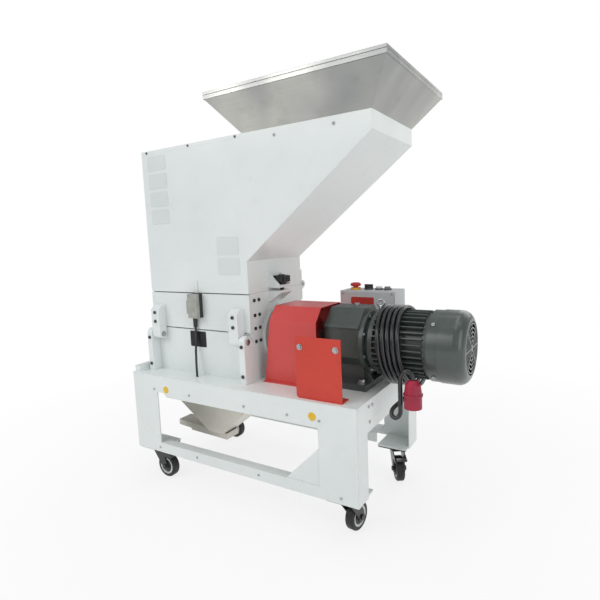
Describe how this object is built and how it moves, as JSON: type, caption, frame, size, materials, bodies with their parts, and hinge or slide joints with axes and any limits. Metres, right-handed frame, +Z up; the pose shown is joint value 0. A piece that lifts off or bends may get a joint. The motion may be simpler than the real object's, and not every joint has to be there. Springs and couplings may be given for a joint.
{
  "type": "low speed plastics granulator",
  "caption": "Wheeled low speed plastics crusher with a tilting overhung hopper, claw rotor chamber, guarded gear motor drive and control box.",
  "frame": {"origin": "centre of the floor outline, on the floor under the machine", "axes": "+X along the base towards the motor, +Y from the front towards the back, +Z up"},
  "size_m": [0.993, 0.441, 1.137],
  "materials": {
    "white_paint": "semi-gloss powder coat",
    "zinc": "zinc plated",
    "tool_steel": "ground tool steel",
    "stainless": "brushed stainless sheet",
    "black_oxide": "black oxide",
    "black_paint": "black enamel",
    "caster_rubber": "black tread on a grey nylon hub",
    "guard_red": "semi-gloss enamel",
    "shield_red": "semi-gloss enamel",
    "drive_green": "dark grey-green enamel on castings",
    "fan_plastic": "moulded",
    "switch_plastic": "moulded",
    "box_grey": "fine textured enamel",
    "button_yellow": "moulded",
    "button_red": "moulded",
    "button_white": "moulded",
    "button_grey": "moulded",
    "cord_rubber": "smooth rubber sheath",
    "plug_crimson": "moulded"
  },
  "bodies": {
    "base": {"deck": "white_paint", "front_frame": "white_paint", "rear_frame": "white_paint", "side_frames": "white_paint", "frame_brackets": "white_paint", "frame_screws": "zinc", "caster_plates": "black_paint", "side_plate_left": "white_paint", "side_plate_right": "white_paint", "rear_panel": "white_paint", "lower_panel": "white_paint", "hinge_pins": "zinc", "fixed_knives": "tool_steel", "bearing_housings": "white_paint", "chamber_screws": "black_oxide", "interlock_lead": "cord_rubber", "coupling_guard": "guard_red", "drive_shield": "shield_red", "gear_housing": "drive_green", "gear_fittings": "zinc", "motor_housing": "drive_green", "fan_cowl": "drive_green", "discharge_chute": "stainless", "outlet_duct": "stainless", "control_box": "box_grey", "box_lid": "box_grey", "button_bases": "button_yellow", "cord_gland": "switch_plastic", "cord_feed": "cord_rubber", "cord_winding": "cord_rubber", "cord_tail": "cord_rubber", "plug": "plug_crimson"},
    "front_door": {"front_door": "white_paint", "hinge_arms": "white_paint", "door_screws": "black_oxide", "interlock_switch": "switch_plastic"},
    "hopper": {"hopper_body": "white_paint", "hopper_cover": "white_paint", "hopper_screws": "black_oxide", "feed_funnel": "stainless", "hopper_brackets": "white_paint"},
    "clamp_knob": {"star_knob": "switch_plastic"},
    "rotor": {"rotor_shaft": "zinc", "cutting_rotor": "tool_steel", "coupling": "guard_red"},
    "motor_fan": {"motor_fan": "fan_plastic"},
    "stop_button": {"stop_button": "button_red"},
    "selector": {"selector_knob": "switch_plastic"},
    "start_button": {"start_button": "button_white"},
    "halt_button": {"halt_button": "button_grey"},
    "fork_fl": {"caster_fork_fl": "black_paint"},
    "wheel_fl": {"caster_wheel_fl": "caster_rubber"},
    "fork_fr": {"caster_fork_fr": "black_paint"},
    "wheel_fr": {"caster_wheel_fr": "caster_rubber"},
    "fork_bl": {"caster_fork_bl": "black_paint"},
    "wheel_bl": {"caster_wheel_bl": "caster_rubber"},
    "fork_br": {"caster_fork_br": "black_paint"},
    "wheel_br": {"caster_wheel_br": "caster_rubber"},
    "pedal_fl": {"brake_pedal_fl": "black_paint"},
    "pedal_br": {"brake_pedal_br": "black_paint"}
  },
  "joints": [
    {"name": "door_hinge", "type": "hinge", "parent": "base", "child": "front_door", "pos_m": [-0.2665, -0.1615, 0.471], "axis": [1, 0, 0], "range_deg": [0, 100]},
    {"name": "hopper_hinge", "type": "hinge", "parent": "base", "child": "hopper", "pos_m": [-0.2665, 0.1455, 0.604], "axis": [-1, 0, 0], "range_deg": [0, 85]},
    {"name": "clamp_turn", "type": "hinge", "parent": "hopper", "child": "clamp_knob", "pos_m": [-0.0435, -0.0185, 0.624], "axis": [0, 0, 1], "continuous": true},
    {"name": "rotor_spin", "type": "hinge", "parent": "base", "child": "rotor", "pos_m": [-0.2665, -0.0075, 0.471], "axis": [1, 0, 0], "continuous": true},
    {"name": "fan_spin", "type": "hinge", "parent": "base", "child": "motor_fan", "pos_m": [0.4335, -0.0075, 0.471], "axis": [1, 0, 0], "continuous": true},
    {"name": "stop_press", "type": "slide", "parent": "base", "child": "stop_button", "axis": [0, 0, -1], "range_m": [0, 0.004]},
    {"name": "selector_turn", "type": "hinge", "parent": "base", "child": "selector", "pos_m": [0.1595, 0.1555, 0.595], "axis": [0, 0, 1], "range_deg": [-45, 45]},
    {"name": "start_press", "type": "slide", "parent": "base", "child": "start_button", "axis": [0, 0, -1], "range_m": [0, 0.0025], "stiffness_N_per_m": 300},
    {"name": "halt_press", "type": "slide", "parent": "base", "child": "halt_button", "axis": [0, 0, -1], "range_m": [0, 0.0025], "stiffness_N_per_m": 300},
    {"name": "swivel_fl", "type": "hinge", "parent": "base", "child": "fork_fl", "pos_m": [-0.4475, -0.1705, 0.09], "axis": [0, 0, 1], "continuous": true},
    {"name": "roll_fl", "type": "hinge", "parent": "fork_fl", "child": "wheel_fl", "pos_m": [-0.4175, -0.1705, 0.0375], "axis": [0, 1, 0], "continuous": true},
    {"name": "brake_fl", "type": "hinge", "parent": "fork_fl", "child": "pedal_fl", "pos_m": [-0.3895, -0.1705, 0.076], "axis": [0, 1, 0], "range_deg": [0, 14]},
    {"name": "swivel_fr", "type": "hinge", "parent": "base", "child": "fork_fr", "pos_m": [0.2345, -0.1705, 0.09], "axis": [0, 0, 1], "continuous": true},
    {"name": "roll_fr", "type": "hinge", "parent": "fork_fr", "child": "wheel_fr", "pos_m": [0.23867, -0.14079, 0.0375], "axis": [-0.9903, 0.1392, 0], "continuous": true},
    {"name": "swivel_bl", "type": "hinge", "parent": "base", "child": "fork_bl", "pos_m": [-0.4475, 0.1705, 0.09], "axis": [0, 0, 1], "continuous": true},
    {"name": "roll_bl", "type": "hinge", "parent": "fork_bl", "child": "wheel_bl", "pos_m": [-0.4175, 0.1705, 0.0375], "axis": [0, 1, 0], "continuous": true},
    {"name": "swivel_br", "type": "hinge", "parent": "base", "child": "fork_br", "pos_m": [0.2345, 0.1705, 0.09], "axis": [0, 0, 1], "continuous": true},
    {"name": "roll_br", "type": "hinge", "parent": "fork_br", "child": "wheel_br", "pos_m": [0.2504, 0.14506, 0.0375], "axis": [0.848, 0.5299, 0], "continuous": true},
    {"name": "brake_br", "type": "hinge", "parent": "fork_br", "child": "pedal_br", "pos_m": [0.26523, 0.12131, 0.076], "axis": [0.848, 0.5299, 0], "range_deg": [0, 14]}
  ],
  "couplings": [
    {"joint": "fan_spin", "follows": "rotor_spin", "ratio": 50}
  ]
}
